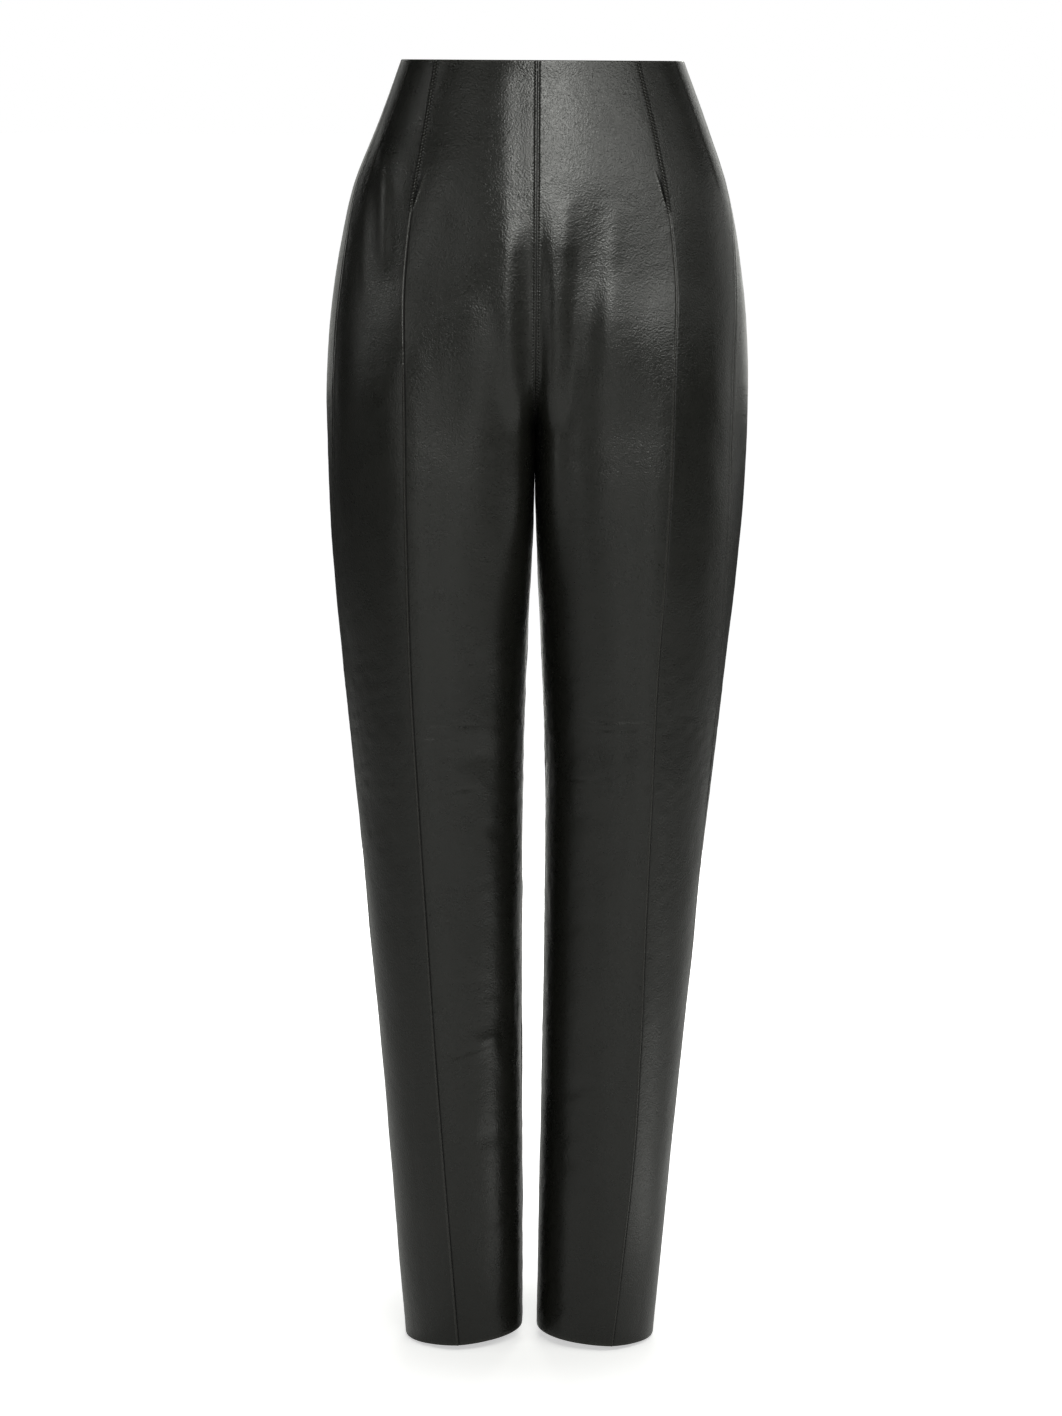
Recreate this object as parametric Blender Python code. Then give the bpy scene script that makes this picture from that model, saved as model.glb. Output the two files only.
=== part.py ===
"""Slim high-waisted leather trousers, filled out as worn: open at the waist and at both hems.

The frame: metres, +Z up, the front faces -Y and the wearer's left leg is at +X. The origin is the
middle of the waist, level with its top edge. "down" is a distance below that edge.
"""

import math
from collections import namedtuple

import bmesh
import bpy
from mathutils import Matrix, Vector

MM = 0.001

# Driving sizes, in millimetres.
LENGTH = 1053.5  # waist edge to hem, down the middle of a leg
CROTCH = 300  # waist edge to the meeting of the four leg seams
WALL = 1.4  # leather with its turned edges
SEAM_GAP = 0.3  # between two pieces that are sewn together
PARTING = (165, 300)  # where one round body turns into two legs
HEM_SLOPE = {1: 0.06, -1: 0.085}  # the fall of each hem for a millimetre outwards, by side
HEM_ZONE = 150  # the height in which the rows turn into that slope

# Each section of the cloth is an oval. half: half the width over both legs. shift: how far the
# section's middle lies to the wearer's left of the centre seams. front, back: how far it reaches
# forwards and backwards. widest: how far back its widest point lies. power, inner_power: how square
# its outer and inner halves are, where 2 is an ellipse.
Section = namedtuple("Section", "down half shift front back widest power inner_power")
SECTIONS = [
    Section(0, 114, 4.0, 92, 96, 0, 2.1, 2.1),
    Section(50, 132.6, 4.3, 98, 106, 4, 2.15, 2.1),
    Section(100, 151.3, 2.9, 103, 115, 9, 2.25, 2.1),
    Section(150, 162, 2.5, 105, 120.5, 14, 2.35, 2.3),
    Section(200, 169, 2.0, 105.5, 122.5, 18, 2.4, 2.7),
    Section(250, 172.1, 1.7, 104, 121, 19, 2.25, 3.3),
    Section(300, 172.1, 1.5, 101.5, 116.5, 17, 2.05, 3.8),
    Section(375, 168.4, 1.1, 97.5, 106, 12, 2.0, 3.3),
    Section(450, 161.8, 0.5, 91.5, 95, 7, 2.0, 2.8),
    Section(550, 151, 0.1, 81.5, 79.5, 2, 2.0, 2.4),
    Section(650, 140.5, -0.1, 72, 68.5, 0, 2.0, 2.2),
    Section(750, 131.1, 0.1, 66, 63.5, 0, 2.0, 2.1),
    Section(850, 121.4, 0.1, 62.5, 61, 0, 2.0, 2.0),
    Section(950, 112.7, -0.3, 60, 60, 0, 2.0, 2.0),
    Section(1060, 103, -0.3, 55.5, 59, 0, 2.0, 2.0),
]

# The inner face of each leg, as its distance from the middle of the gap between the legs. shift:
# how far that middle lies to the wearer's left.
Inseam = namedtuple("Inseam", "down inner shift")
INSEAMS = [
    Inseam(300, 0.3, 0),
    Inseam(360, 0.5, 0),
    Inseam(440, 3.8, 0),
    Inseam(505, 6.8, 0.3),
    Inseam(560, 8.8, 0.8),
    Inseam(620, 9.5, 1.0),
    Inseam(740, 9.0, 0.7),
    Inseam(840, 8.2, 0.4),
    Inseam(950, 7.0, 0.2),
    Inseam(1060, 6.1, -0.3),
]

# Lines down a leg. tuck: each front dart and the pintuck that runs on from it to the hem, and
# back: each back dart and the back of the leg, as distances from the centre plane. seam: each side
# seam, as its distance in from the outline. left and right are the wearer's.
Line = namedtuple("Line", "down tuck_left tuck_right back seam_left seam_right")
LINES = [
    Line(0, 79, 80, 70, 0.3, 1),
    Line(60, 93.5, 89.5, 78, 0.5, 2.5),
    Line(117, 104.3, 99.5, 84, 1.5, 4),
    Line(180, 109, 103.7, 87, 8, 6.5),
    Line(240, 109, 104.3, 88, 14, 7),
    Line(300, 108.5, 104, 88, 15, 6.5),
    Line(400, 104.3, 102, 86, 11, 4),
    Line(500, 98.2, 98.8, 82, 5.5, 2),
    Line(600, 94.8, 93, 78, 2.5, 1),
    Line(700, 91.2, 86.5, 72, 1, 0.5),
    Line(800, 88, 79.8, 67, 0.4, 0.2),
    Line(900, 82.5, 72, 61, 0, 0),
    Line(1060, 66.5, 59, 55, 0, 0),
]

FRONT_DART_END = 118
SIDE_DART_END = 106
SIDE_DART_IN = 7  # a side dart's place, in from the side seam
BACK_DART_END = 125
DART_GROOVE = 0.4  # the depth of a dart's seam
DART_HALF = 3.0  # half the width of the dip beside it
BAND_HEIGHT = 0.5  # a front dart's topstitched band
BAND_HALF = 2.6
TUCK_HEIGHT = 1.2  # the pintuck stands this proud
TUCK_HALF = 1.5
TUCK_TOP = 0.7  # its flat top, as a share of its width

# The largest folds, each a soft trough (height < 0) or ridge along a straight line on the front or
# the back of both legs. x: distance from the centre plane.
Fold = namedtuple("Fold", "face x1 down1 x2 down2 half height")
FOLDS = [
    Fold("front", 20, 175, 12, 280, 11, -1.2),
    Fold("front", 34, 170, 24, 290, 10, 0.9),
    Fold("front", 52, 190, 38, 285, 12, -0.9),
    Fold("front", 20, 560, 88, 548, 13, -1.2),
    Fold("front", 16, 840, 50, 822, 13, -1.2),
    Fold("back", 24, 330, 120, 300, 15, -2.4),
    Fold("back", 20, 368, 110, 352, 16, 1.6),
    Fold("back", 22, 600, 104, 584, 15, -2.4),
    Fold("back", 104, 642, 30, 630, 14, -2.0),
    Fold("back", 22, 690, 92, 672, 15, -1.8),
    Fold("back", 30, 900, 80, 890, 13, -1.2),
]

# Heights of the rows of points down a panel, closer together where the form turns quickly.
WAIST_ROWS = [0, 20, 40, 60, 80, 100, 114, 122, 145, 170, 195, 218, 238, 254, 267, 278, 287, 293, 297]
LEG_ROWS = [300, 305, 318, 340, 365, 392, 420]
LEG_STEP = 38  # of the rows further down
NOTCH_ROWS = [7, 8, 18, 19]  # round the zip's slider, in the back panels only

# Numbers of columns between the lines of a panel.
SIDE_TO_TUCK = 3
TUCK_TO_CENTRE = 7
SIDE_TO_BACK_DART = 6
BACK_DART_TO_CENTRE = 7

# The concealed zip down the centre back seam.
NOTCH_HALF = 1.1  # half the width in which the seam parts round the slider
TAPE_WIDTH = 12
TAPE_THICK = 1.0
TAPE_TOP = 4
TAPE_END = 190
TAPE_STEP = 18.6
TAPE_COLUMNS = 4
SLIDER_DOWN = 13  # the middle of the slider
SLIDER_PLATE = (7.0, 1.6, 10.5)  # inside the tapes: across, deep, tall
NECK_WIDTH = 1.4
NECK_TALL = 7.4
BAIL_OUT = 2.5  # the hinge line's distance from the leather
BAIL_RADIUS = 2.0  # the round end of the bail
BAIL_HOLE = 1.05
PIN_RADIUS = 0.6  # the pull's cross bar, in the bail's hole
PULL_THICK = 1.0
PULL_LENGTH = 24
PULL_HALF = 2.3  # half its width at the cross bar
PULL_WIDEST = 3.2  # half its width near the tip
PULL_WINDOW = (2.4, 5.6)  # the opening that the bail stands in: across, long
PULL_CLEAR = 0.35  # between the resting tip and the leather

STEP = 0.05  # for slopes, in millimetres and in degrees
SHARP_DEG = 27  # an edge that bends more than this is shaded as an edge


def smooth(table, down, column):
    """A column's value at a distance down, on a smooth curve through the table's rows."""
    places = [row.down for row in table]
    values = [getattr(row, column) for row in table]
    down = min(max(down, places[0]), places[-1])
    i = max(k for k in range(len(places) - 1) if places[k] <= down)

    def slope(k):
        a, b = max(k - 1, 0), min(k + 1, len(places) - 1)
        return (values[b] - values[a]) / (places[b] - places[a])

    span = places[i + 1] - places[i]
    t = (down - places[i]) / span
    return (
        values[i] * (1 + 2 * t) * (1 - t) ** 2
        + values[i + 1] * t * t * (3 - 2 * t)
        + slope(i) * span * t * (1 - t) ** 2
        - slope(i + 1) * span * t * t * (1 - t)
    )


def ease(value, low, high):
    """0 below low, 1 above high, and a smooth rise between them."""
    t = min(max((value - low) / (high - low), 0), 1)
    return t * t * (3 - 2 * t)


Oval = namedtuple("Oval", "centre half front back widest power inner_power")


def oval(side, down):
    """The section of one side's cloth. side is 1 for the wearer's left and -1 for the right."""
    shift = side * smooth(SECTIONS, down, "shift")
    outer = smooth(SECTIONS, down, "half") + shift
    if down < CROTCH:
        inner = INSEAMS[0].inner
        parted = ease(down, *PARTING)
        half = (outer - shift * (1 - parted) - inner * parted) / (1 + parted)
    else:
        inner = smooth(INSEAMS, down, "inner") + side * smooth(INSEAMS, down, "shift")
        half = (outer - inner) / 2
    return Oval(outer - half, half, *(smooth(SECTIONS, down, name) for name in Oval._fields[2:]))


def reach_of(shape, in_front):
    """How far an oval reaches forwards or backwards from its widest point."""
    return shape.front + shape.widest if in_front else shape.back - shape.widest


def angle_at(shape, x):
    """The angle round an oval, from its outer side, at a distance from the centre plane."""
    across = min(max((x - shape.centre) / shape.half, -1), 1)
    power = shape.power if across > 0 else shape.inner_power
    return math.atan2((1 - abs(across) ** power) ** (1 / power), across)


def fold_height(face, x, down):
    """How far the folds lift the cloth, in millimetres."""
    height = 0
    for fold in FOLDS:
        if fold.face != face:
            continue
        start, end = Vector((fold.x1, fold.down1)), Vector((fold.x2, fold.down2))
        along = end - start
        t = (Vector((x, down)) - start).dot(along) / along.length_squared
        away = (Vector((x, down)) - start - along * min(max(t, 0), 1)).length
        height += fold.height * math.exp(-((away / fold.half) ** 2))
    return height


def bare_point(side, down, angle):
    """A point of the smooth form, in millimetres. An angle below 0 is on the back."""
    shape = oval(side, down)
    c, s = math.cos(angle), math.sin(angle)
    power = shape.power if c > 0 else shape.inner_power
    reach = (abs(c) ** power + abs(s) ** power) ** (-1 / power)
    across = shape.half * reach * c
    depth = reach_of(shape, s > 0) * reach * s
    fall = HEM_SLOPE[side] * across * ease(down, LENGTH - HEM_ZONE, LENGTH)
    return Vector((side * (shape.centre + across), shape.widest - depth, -down - fall))


def outward(side, down, angle):
    """The direction straight out of the cloth. It stays level at the waist edge."""
    turn = math.radians(STEP)
    round_way = bare_point(side, down, angle + turn) - bare_point(side, down, angle - turn)
    low, high = min(down + STEP, LENGTH + STEP), max(down - STEP, -STEP)
    down_way = bare_point(side, low, angle) - bare_point(side, high, angle)
    normal = side * round_way.cross(down_way)
    if down in (0, LENGTH):
        normal.z = 0
    return normal.normalized()


def cloth_point(side, down, angle, lift=0):
    """A point on the cloth's outer face, or lift millimetres out of it."""
    place = bare_point(side, down, angle)
    way = outward(side, down, angle)
    face = "front" if angle > 0 else "back"
    return place + way * (lift + fold_height(face, abs(place.x), down))


def turn_for(side, down, angle, distance):
    """The change of angle that moves a point by a distance round the section."""
    turn = math.radians(STEP)
    step = bare_point(side, down, angle + turn) - bare_point(side, down, angle - turn)
    return 2 * turn * distance / step.length


def line_at(side, down, name):
    """One of the wearer's left or right lines."""
    return smooth(LINES, down, f"{name}_left" if side > 0 else f"{name}_right")


def side_angle(side, down, inwards=0):
    """The angle of the side seam, or of a line that lies inwards of it."""
    shape = oval(side, down)
    place = shape.centre + shape.half - line_at(side, down, "seam") - inwards
    return angle_at(shape, place)


def centre_angle(side, down, face, half_gap):
    """Where a panel ends at the centre seam or, below the crotch, at the inseam."""
    shape = oval(side, down)
    at_inseam = math.pi - SEAM_GAP / 2 / reach_of(shape, face == "front")
    return min(angle_at(shape, half_gap), at_inseam)


def evenly(first, last, count):
    """count values between two others."""
    return [first + (last - first) * (k + 1) / (count + 1) for k in range(count)]


def front_columns(side, down):
    """Angles and lifts of a front panel's points at one height, from the side seam inwards."""
    tuck = angle_at(oval(side, down), line_at(side, down, "tuck"))
    dart = side_angle(side, down, SIDE_DART_IN)
    first = side_angle(side, down) + turn_for(side, down, side_angle(side, down), SEAM_GAP / 2)
    last = centre_angle(side, down, "front", SEAM_GAP / 2)
    in_tuck = ease(down, FRONT_DART_END - 4, FRONT_DART_END + 4)
    height = BAND_HEIGHT + (TUCK_HEIGHT - BAND_HEIGHT) * in_tuck
    foot = turn_for(side, down, tuck, BAND_HALF + (TUCK_HALF - BAND_HALF) * in_tuck)
    dip = turn_for(side, down, dart, DART_HALF)
    groove = -DART_GROOVE if down <= SIDE_DART_END else 0
    angles = [first, dart - dip, dart, dart + dip]
    lifts = [0, 0, groove, 0]
    between = evenly(dart + dip, tuck - foot, SIDE_TO_TUCK)
    angles += between + [tuck - foot, tuck - foot * TUCK_TOP, tuck + foot * TUCK_TOP, tuck + foot]
    lifts += [0] * len(between) + [0, height, height, 0]
    angles += evenly(tuck + foot, last, TUCK_TO_CENTRE) + [last]
    lifts += [0] * (TUCK_TO_CENTRE + 1)
    return angles, lifts


def back_half_gap(down):
    """Half the gap at the centre back seam, which parts round the slider."""
    inside_notch = NOTCH_ROWS[1] <= down <= NOTCH_ROWS[2]
    return NOTCH_HALF if inside_notch else SEAM_GAP / 2


def back_columns(side, down):
    """The same for a back panel, whose angles are below 0 past the side."""
    dart = angle_at(oval(side, down), smooth(LINES, down, "back"))
    first = -side_angle(side, down) + turn_for(side, down, side_angle(side, down), SEAM_GAP / 2)
    last = centre_angle(side, down, "back", back_half_gap(down))
    dip = turn_for(side, down, -dart, DART_HALF)
    groove = -DART_GROOVE if down <= BACK_DART_END else 0
    angles = [first] + evenly(first, dart - dip, SIDE_TO_BACK_DART)
    lifts = [0] * len(angles)
    angles += [dart - dip, dart, dart + dip]
    lifts += [0, groove, 0]
    angles += evenly(dart + dip, last, BACK_DART_TO_CENTRE) + [last]
    lifts += [0] * (BACK_DART_TO_CENTRE + 1)
    return [-angle for angle in angles], lifts


def finish(name, colour, roughness, metallic=0.0):
    material = bpy.data.materials.new(name)
    material.use_nodes = True
    shader = material.node_tree.nodes["Principled BSDF"]
    shader.inputs["Base Color"].default_value = (*colour, 1)
    shader.inputs["Roughness"].default_value = roughness
    shader.inputs["Metallic"].default_value = metallic
    return material


def add_object(name, mesh, material):
    """A part in the trousers' collection."""
    mesh.name = name
    mesh.materials.append(material)
    made = bpy.data.objects.new(name, mesh)
    parts.objects.link(made)
    return made


def wall_mesh(outer, inner):
    """A closed wall between two grids of points, both in rows."""
    bm = bmesh.new()
    faces_of = [[[bm.verts.new(p * MM) for p in row] for row in grid] for grid in (outer, inner)]
    out, back = faces_of
    rows, columns = len(out), len(out[0])
    for i in range(rows - 1):
        for j in range(columns - 1):
            for grid in (out, back):
                bm.faces.new((grid[i][j], grid[i][j + 1], grid[i + 1][j + 1], grid[i + 1][j]))
    rim = [(0, j) for j in range(columns)]
    rim += [(i, columns - 1) for i in range(1, rows)]
    rim += [(rows - 1, j) for j in range(columns - 2, -1, -1)]
    rim += [(i, 0) for i in range(rows - 2, 0, -1)]
    for (i, j), (k, m) in zip(rim, rim[1:] + rim[:1]):
        bm.faces.new((out[i][j], out[k][m], back[k][m], back[i][j]))
    bmesh.ops.recalc_face_normals(bm, faces=bm.faces)
    mesh = bpy.data.meshes.new("wall")
    bm.to_mesh(mesh)
    bm.free()
    mesh.shade_smooth()
    mesh.set_sharp_from_angle(angle=math.radians(SHARP_DEG))
    return mesh


def panel_rows(face):
    rows = WAIST_ROWS + LEG_ROWS
    steps = math.ceil((LENGTH - rows[-1]) / LEG_STEP)
    rows = rows + evenly(rows[-1], LENGTH, steps - 1) + [LENGTH]
    return sorted(rows + (NOTCH_ROWS if face == "back" else []))


def panel(name, side, face, columns_of, material):
    """One leg panel, waist to hem, with its raised lines over a plain inside."""
    outer, inner = [], []
    for down in panel_rows(face):
        angles, lifts = columns_of(side, down)
        outer.append([cloth_point(side, down, a, lift) for a, lift in zip(angles, lifts)])
        inner.append([cloth_point(side, down, a, -WALL) for a in angles])
    return add_object(name, wall_mesh(outer, inner), material)


def zip_tape(name, side, material):
    """One tape of the zip, inside its back panel along the centre back seam."""
    rows = [TAPE_TOP] + NOTCH_ROWS
    rows += evenly(NOTCH_ROWS[-1], TAPE_END, round((TAPE_END - NOTCH_ROWS[-1]) / TAPE_STEP) - 1)
    near = -WALL - SEAM_GAP
    outer, inner = [], []
    for down in rows + [TAPE_END]:
        xs = [back_half_gap(down)] + evenly(NOTCH_HALF, TAPE_WIDTH, TAPE_COLUMNS) + [TAPE_WIDTH]
        angles = [-angle_at(oval(side, down), x) for x in xs]
        outer.append([cloth_point(side, down, a, near) for a in angles])
        inner.append([cloth_point(side, down, a, near - TAPE_THICK) for a in angles])
    return add_object(name, wall_mesh(outer, inner), material)


def back_frame():
    """Where the slider sits: x across, y straight out of the leather, z up along it."""
    place = (back_middle(SLIDER_DOWN - 1) + back_middle(SLIDER_DOWN + 1)) / 2
    up = (back_middle(SLIDER_DOWN - 1) - back_middle(SLIDER_DOWN + 1)).normalized()
    lean = math.atan2(-up.y, up.z)
    return Matrix.Translation(place * MM) @ Matrix.Rotation(lean, 4, "X")


def back_middle(down):
    """A point of the outer face at the centre back."""
    place = cloth_point(1, down, -angle_at(oval(1, down), 0))
    return Vector((0, place.y, place.z))


def box_mesh(bm, size, centre):
    made = bmesh.ops.create_cube(bm, size=1)["verts"]
    bmesh.ops.scale(bm, vec=Vector(size) * MM, verts=made)
    bmesh.ops.translate(bm, vec=Vector(centre) * MM, verts=made)


def turned(bm, radius, depth, centre, segments):
    """A cylinder along X."""
    place = Matrix.Translation(Vector(centre) * MM) @ Matrix.Rotation(math.pi / 2, 4, "Y")
    bmesh.ops.create_cone(
        bm, cap_ends=True, segments=segments, radius1=radius * MM, radius2=radius * MM,
        depth=depth * MM, matrix=place,
    )


def made_from(name, build):
    mesh = bpy.data.meshes.new(name)
    bm = bmesh.new()
    build(bm)
    bm.to_mesh(mesh)
    bm.free()
    return bpy.data.objects.new(name, mesh)


def cutter(name, build, place):
    tool = made_from(name, build)
    tool.matrix_world = place
    tool.hide_render = True
    tool.display_type = "WIRE"
    cutters.objects.link(tool)
    return tool


def boolean(target, tool, operation):
    step = target.modifiers.new(tool.name, "BOOLEAN")
    step.operation = operation
    step.object = tool


def zip_slider(material):
    """The slider: a plate inside the tapes, a neck through the seam and a bail outside."""
    frame = back_frame()
    inside = -(WALL + SEAM_GAP + TAPE_THICK + SEAM_GAP + SLIDER_PLATE[1] / 2)
    slider = made_from("zip_slider", lambda bm: box_mesh(bm, SLIDER_PLATE, (0, inside, 0)))
    slider.matrix_world = frame
    slider.data.materials.append(material)
    parts.objects.link(slider)

    def neck(bm):
        deep = BAIL_OUT - inside
        box_mesh(bm, (NECK_WIDTH, deep, NECK_TALL), (0, inside + deep / 2, 0))

    def bail(bm):
        turned(bm, BAIL_RADIUS + 1.2, NECK_WIDTH - 0.02, (0, BAIL_OUT, 0), 24)

    boolean(slider, cutter("slider_neck", neck, frame), "UNION")
    boolean(slider, cutter("slider_bail", bail, frame), "UNION")
    hole = cutter("bail_hole", lambda bm: turned(bm, BAIL_HOLE, 6, (0, BAIL_OUT, 0), 16), frame)
    boolean(slider, hole, "DIFFERENCE")
    return slider


def pull_outline():
    """The pull tab's outline, seen from behind, from its top round the tip: a long teardrop."""
    right = [(PULL_HALF - 0.6, 1.0), (PULL_HALF, 0.4), (PULL_HALF, -PULL_WINDOW[1])]
    turn_steps = 8
    middle = PULL_LENGTH - PULL_WIDEST
    for k in range(turn_steps + 1):
        angle = math.radians(12 - 102 * k / turn_steps)
        right.append((PULL_WIDEST * math.cos(angle), -middle + PULL_WIDEST * math.sin(angle)))
    return right + [(-x, z) for x, z in reversed(right[:-1])]


def zip_pull(material):
    """The pull tab, hung in the bail by its cross bar. Its origin is on the hinge line."""
    hinge = back_frame() @ Vector((0, BAIL_OUT * MM, 0))
    tip_down = -hinge.z / MM + PULL_LENGTH
    rest_y = back_middle(tip_down).y + PULL_CLEAR + PULL_THICK / 2
    lean = math.atan2(rest_y - hinge.y / MM, PULL_LENGTH)
    outline = pull_outline()

    def plate(bm):
        ring = [bm.verts.new(Vector((x, -PULL_THICK / 2, z)) * MM) for x, z in outline]
        face = bm.faces.new(ring)
        grown = bmesh.ops.extrude_face_region(bm, geom=[face])["geom"]
        moved = [item for item in grown if isinstance(item, bmesh.types.BMVert)]
        bmesh.ops.translate(bm, vec=Vector((0, PULL_THICK * MM, 0)), verts=moved)
        bmesh.ops.recalc_face_normals(bm, faces=bm.faces)

    pull = made_from("zip_pull", plate)
    place = Matrix.Translation(hinge) @ Matrix.Rotation(lean, 4, "X")
    pull.matrix_world = place
    pull.data.materials.append(material)
    parts.objects.link(pull)
    across, tall = PULL_WINDOW

    def window(bm):
        box_mesh(bm, (across, 4, tall + 3), (0, 0, 1.5 - tall / 2))

    def bar(bm):
        turned(bm, PIN_RADIUS, across + 1.2, (0, 0, 0), 12)

    boolean(pull, cutter("pull_window", window, place), "DIFFERENCE")
    boolean(pull, cutter("pull_bar", bar, place), "UNION")
    return pull


for old in list(bpy.data.objects):
    bpy.data.objects.remove(old, do_unlink=True)
parts = bpy.data.collections.new("leather_trousers")
cutters = bpy.data.collections.new("cutters")
for made in (parts, cutters):
    bpy.context.scene.collection.children.link(made)

for side, hand in ((1, "left"), (-1, "right")):
    black = finish(f"front_{hand}_leather", (0.012, 0.012, 0.011), 0.42)
    panel(f"front_{hand}", side, "front", front_columns, black)
    black = finish(f"back_{hand}_leather", (0.012, 0.012, 0.011), 0.42)
    panel(f"back_{hand}", side, "back", back_columns, black)
    zip_tape(f"zip_tape_{hand}", side, finish(f"zip_tape_{hand}_cloth", (0.01, 0.01, 0.01), 0.8))
zip_slider(finish("zip_slider_metal", (0.03, 0.03, 0.032), 0.35, 1.0))
zip_pull(finish("zip_pull_metal", (0.03, 0.03, 0.032), 0.35, 1.0))
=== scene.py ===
"""The looks of the leather trousers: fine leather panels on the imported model's form, with darts,
pintucks, creases and stitches, a zip, a pale floor and soft studio light.

Lengths are millimetres until a mesh is made. "down" is a distance below the waist edge, and side is
1 for the wearer's left (+X) and -1 for the right. The form's numbers are those of the part.
"""

import math
from types import SimpleNamespace

import bpy
import numpy as np
from mathutils import Matrix, Vector


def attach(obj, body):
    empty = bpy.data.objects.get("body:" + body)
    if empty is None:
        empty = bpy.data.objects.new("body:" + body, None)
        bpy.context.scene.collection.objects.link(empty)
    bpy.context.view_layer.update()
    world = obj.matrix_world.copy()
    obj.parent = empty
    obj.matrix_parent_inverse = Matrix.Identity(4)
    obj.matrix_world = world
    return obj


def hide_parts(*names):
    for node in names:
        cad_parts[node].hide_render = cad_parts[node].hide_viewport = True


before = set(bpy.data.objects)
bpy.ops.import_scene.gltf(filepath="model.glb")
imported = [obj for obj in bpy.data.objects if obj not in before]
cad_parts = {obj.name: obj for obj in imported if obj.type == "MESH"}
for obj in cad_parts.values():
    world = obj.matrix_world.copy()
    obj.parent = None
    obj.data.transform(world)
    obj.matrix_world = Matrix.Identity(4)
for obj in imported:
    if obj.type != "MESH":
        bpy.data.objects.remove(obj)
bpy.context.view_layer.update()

MM = 0.001

# ---------------- the form, as in the part

LENGTH = 1053.5
CROTCH = 300
PARTING = (165, 300)  # where one section turns into two
HEM_SLOPE = {1: 0.06, -1: 0.085}  # each hem falls towards its outer side
HEM_ZONE = 150
FRONT_DART_END = 118
SIDE_DART_END = 106
SIDE_DART_IN = 7  # a side dart's place, in from the side seam
BACK_DART_END = 125
NOTCH_HALF = 1.1  # the centre back seam parts round the slider
NOTCH = (7, 8, 18, 19)
SMALL_TURN, SMALL_STEP = math.radians(0.05), 0.05  # to measure slopes over


class Table:
    """Values that change down the trousers, joined by smooth curves."""

    def __init__(self, names, *rows):
        self.names = names.split()
        self.rows = np.array(rows, float)

    def at(self, down, name):
        places, values = self.rows[:, 0], self.rows[:, self.names.index(name)]
        last = len(places) - 1
        down = np.clip(down, places[0], places[-1])
        i = np.clip(np.searchsorted(places, down, side="right") - 1, 0, last - 1)
        before = np.maximum(np.arange(last + 1) - 1, 0)
        after = np.minimum(np.arange(last + 1) + 1, last)
        slope = (values[after] - values[before]) / (places[after] - places[before])
        span = places[i + 1] - places[i]
        t = (down - places[i]) / span
        rise = values[i] * (1 + 2 * t) * (1 - t) ** 2 + values[i + 1] * t * t * (3 - 2 * t)
        return rise + slope[i] * span * t * (1 - t) ** 2 - slope[i + 1] * span * t * t * (1 - t)


SECTIONS = Table(
    "down half shift front back widest power inner_power",
    (0, 114, 4.0, 92, 96, 0, 2.1, 2.1),
    (50, 132.6, 4.3, 98, 106, 4, 2.15, 2.1),
    (100, 151.3, 2.9, 103, 115, 9, 2.25, 2.1),
    (150, 162, 2.5, 105, 120.5, 14, 2.35, 2.3),
    (200, 169, 2.0, 105.5, 122.5, 18, 2.4, 2.7),
    (250, 172.1, 1.7, 104, 121, 19, 2.25, 3.3),
    (300, 172.1, 1.5, 101.5, 116.5, 17, 2.05, 3.8),
    (375, 168.4, 1.1, 97.5, 106, 12, 2.0, 3.3),
    (450, 161.8, 0.5, 91.5, 95, 7, 2.0, 2.8),
    (550, 151, 0.1, 81.5, 79.5, 2, 2.0, 2.4),
    (650, 140.5, -0.1, 72, 68.5, 0, 2.0, 2.2),
    (750, 131.1, 0.1, 66, 63.5, 0, 2.0, 2.1),
    (850, 121.4, 0.1, 62.5, 61, 0, 2.0, 2.0),
    (950, 112.7, -0.3, 60, 60, 0, 2.0, 2.0),
    (1060, 103, -0.3, 55.5, 59, 0, 2.0, 2.0),
)
INSEAMS = Table(
    "down inner shift",
    (300, 0.3, 0),
    (360, 0.5, 0),
    (440, 3.8, 0),
    (505, 6.8, 0.3),
    (560, 8.8, 0.8),
    (620, 9.5, 1.0),
    (740, 9.0, 0.7),
    (840, 8.2, 0.4),
    (950, 7.0, 0.2),
    (1060, 6.1, -0.3),
)
LINES = Table(
    "down tuck_left tuck_right back seam_left seam_right",
    (0, 79, 80, 70, 0.3, 1),
    (60, 93.5, 89.5, 78, 0.5, 2.5),
    (117, 104.3, 99.5, 84, 1.5, 4),
    (180, 109, 103.7, 87, 8, 6.5),
    (240, 109, 104.3, 88, 14, 7),
    (300, 108.5, 104, 88, 15, 6.5),
    (400, 104.3, 102, 86, 11, 4),
    (500, 98.2, 98.8, 82, 5.5, 2),
    (600, 94.8, 93, 78, 2.5, 1),
    (700, 91.2, 86.5, 72, 1, 0.5),
    (800, 88, 79.8, 67, 0.4, 0.2),
    (900, 82.5, 72, 61, 0, 0),
    (1060, 66.5, 59, 55, 0, 0),
)

# How far the worn belly stands out past the plain form.
BELLY = Table(
    "down lift",
    (0, 0),
    (50, 1.1),
    (100, 3.2),
    (130, 5.3),
    (144, 5.9),
    (158, 5.4),
    (190, 3.6),
    (240, 1.3),
    (290, 0),
    (1060, 0),
)
BELLY_HALF = 46
THIGH_START = (100, 345)  # the worn thighs start more slowly than over the plain form's PARTING
THIGH_LIFT = 13
THIGH_MIDDLE, THIGH_HALF = 88, 42
BRIDGE = 12  # how far forwards the leather bridges the valley at the crotch
BRIDGE_ACROSS = (4, 30)
BRIDGE_TOP, BRIDGE_FOOT = (222, 290), (320, 440)
TOUCH = 0.4  # the legs touch just under the crotch
TOUCH_HALF = 4
TOUCH_FOOT = (318, 334)


def ease(value, low, high):
    """0 below low, 1 above high, and a smooth rise between them."""
    t = np.clip((value - low) / (high - low), 0, 1)
    return t * t * (3 - 2 * t)


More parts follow.
